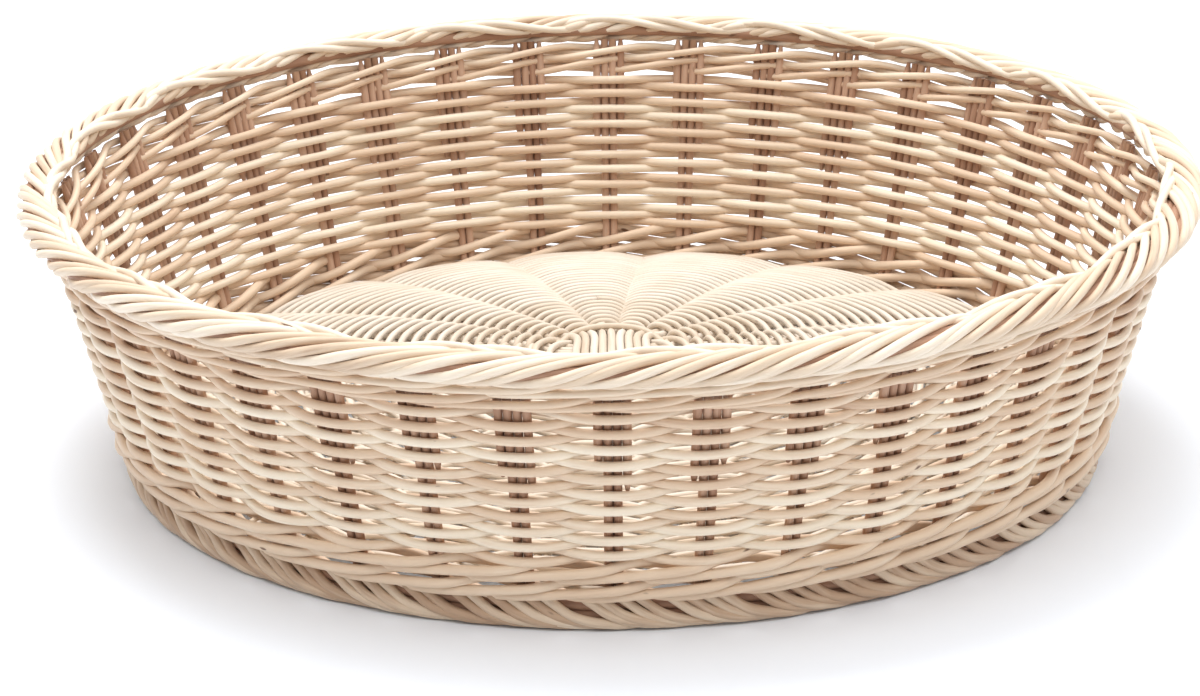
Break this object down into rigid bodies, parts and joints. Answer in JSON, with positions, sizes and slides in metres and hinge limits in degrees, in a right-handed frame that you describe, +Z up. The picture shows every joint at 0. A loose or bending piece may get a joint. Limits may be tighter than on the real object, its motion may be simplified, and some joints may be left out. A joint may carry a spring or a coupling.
{
  "type": "wicker pet bed basket",
  "caption": "Round, low, flared pet bed basket woven from natural round cane, with a crowned floor, a plaited foot and a thick rolled rim.",
  "frame": {"origin": "centre of the ring that the basket stands on, at ground level", "axes": "+Z up along the axis of the round basket; +X and +Y in the ground plane, with the upper group of crossed floor sticks along Y and a bundle of stakes on +Y"},
  "size_m": [0.5499, 0.55, 0.138],
  "materials": {
    "stake_cane": "natural round cane, dry matt, a little darker inside the wall",
    "weaver_cane": "natural round cane, pale cream, soft satin",
    "floor_cane": "natural round cane, pale cream, soft satin",
    "border_cane": "natural round cane, pale cream, soft satin"
  },
  "bodies": {
    "root": {"floor_cross_over": "stake_cane", "floor_cross_under": "stake_cane", "floor_ribs": "stake_cane", "floor_stake_tails": "stake_cane", "floor_weave_inner_over": "floor_cane", "floor_weave_inner_under": "floor_cane", "floor_weave_outer_over": "floor_cane", "floor_weave_outer_under": "floor_cane", "foot_border": "border_cane", "side_stakes": "stake_cane", "bye_stakes": "stake_cane", "bottom_wale_1": "weaver_cane", "bottom_wale_2": "weaver_cane", "bottom_wale_3": "weaver_cane", "bottom_wale_4": "weaver_cane", "bottom_wale_5": "weaver_cane", "bottom_wale_6": "weaver_cane", "wall_row_01": "weaver_cane", "wall_row_02": "weaver_cane", "wall_row_03": "weaver_cane", "wall_row_04": "weaver_cane", "wall_row_05": "weaver_cane", "wall_row_06": "weaver_cane", "wall_row_07": "weaver_cane", "wall_row_08": "weaver_cane", "wall_row_09": "weaver_cane", "wall_row_10": "weaver_cane", "wall_row_11": "weaver_cane", "wall_row_12": "weaver_cane", "wall_row_13": "weaver_cane", "wall_row_14": "weaver_cane", "wall_row_15": "weaver_cane", "wall_row_16": "weaver_cane", "wall_row_17": "weaver_cane", "wall_row_18": "weaver_cane", "wall_row_19": "weaver_cane", "wall_row_20": "weaver_cane", "top_wale_1": "weaver_cane", "top_wale_2": "weaver_cane", "top_wale_3": "weaver_cane", "top_wale_4": "weaver_cane", "top_wale_5": "weaver_cane", "top_wale_6": "weaver_cane", "rim_border": "border_cane"}
  },
  "joints": []
}
